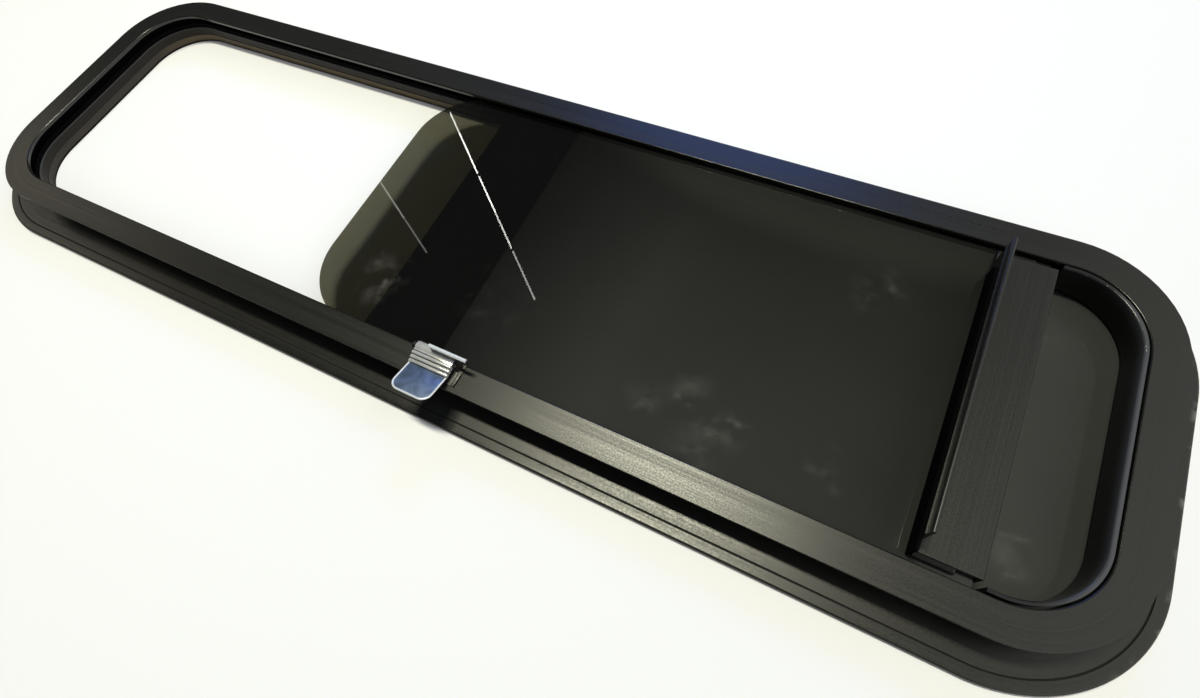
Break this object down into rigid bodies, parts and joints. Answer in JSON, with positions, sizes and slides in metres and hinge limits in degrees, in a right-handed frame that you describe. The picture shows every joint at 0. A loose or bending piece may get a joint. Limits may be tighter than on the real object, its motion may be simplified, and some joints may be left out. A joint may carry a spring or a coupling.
{
  "type": "camper half-slider window",
  "caption": "Rounded camper sliding window: black aluminium frame with wide outer flange and inner clamp ring, fixed tinted pane, sliding tinted pane with pull stile and flip latch.",
  "frame": {"origin": "middle of the exterior face, on the plane the window lies on", "axes": "+X along the window towards the fixed pane, +Y towards the side without the latch, +Z from the exterior to the interior"},
  "size_m": [0.874, 0.272, 0.0502],
  "materials": {
    "black_anodised": "satin black anodised extrusion",
    "flocked_rubber": "matt flocked rubber",
    "black_rubber": "smooth rubber",
    "black_plastic": "satin moulded plastic",
    "tinted_glass": "polished dark grey tinted safety glass",
    "latch_chrome": "bright polished",
    "latch_steel": "plain turned"
  },
  "bodies": {
    "frame": {"frame_far_rail": "black_anodised", "frame_near_rail": "black_anodised", "frame_left_end": "black_anodised", "frame_right_end": "black_anodised", "clamp_ring": "black_anodised", "mullion": "black_anodised", "glass_run_far": "flocked_rubber", "glass_run_near": "flocked_rubber", "glass_run_left": "flocked_rubber", "fixed_glass_gasket": "black_rubber", "mullion_seal": "flocked_rubber", "channel_liner": "black_plastic", "fixed_glass": "tinted_glass", "latch_base": "latch_chrome", "latch_pin": "latch_steel"},
    "slider": {"slider_glass": "tinted_glass", "stile_rubber": "black_rubber", "slider_stile": "black_anodised", "stile_cap_far": "black_plastic", "stile_cap_near": "black_plastic"},
    "latch": {"latch_lever": "latch_chrome"}
  },
  "joints": [
    {"name": "slider_slide", "type": "slide", "parent": "frame", "child": "slider", "axis": [-1, 0, 0], "range_m": [0, 0.317]},
    {"name": "latch_flip", "type": "hinge", "parent": "frame", "child": "latch", "pos_m": [0.0369, -0.101, 0.032], "axis": [-1, 0, 0], "range_deg": [0, 135]}
  ]
}
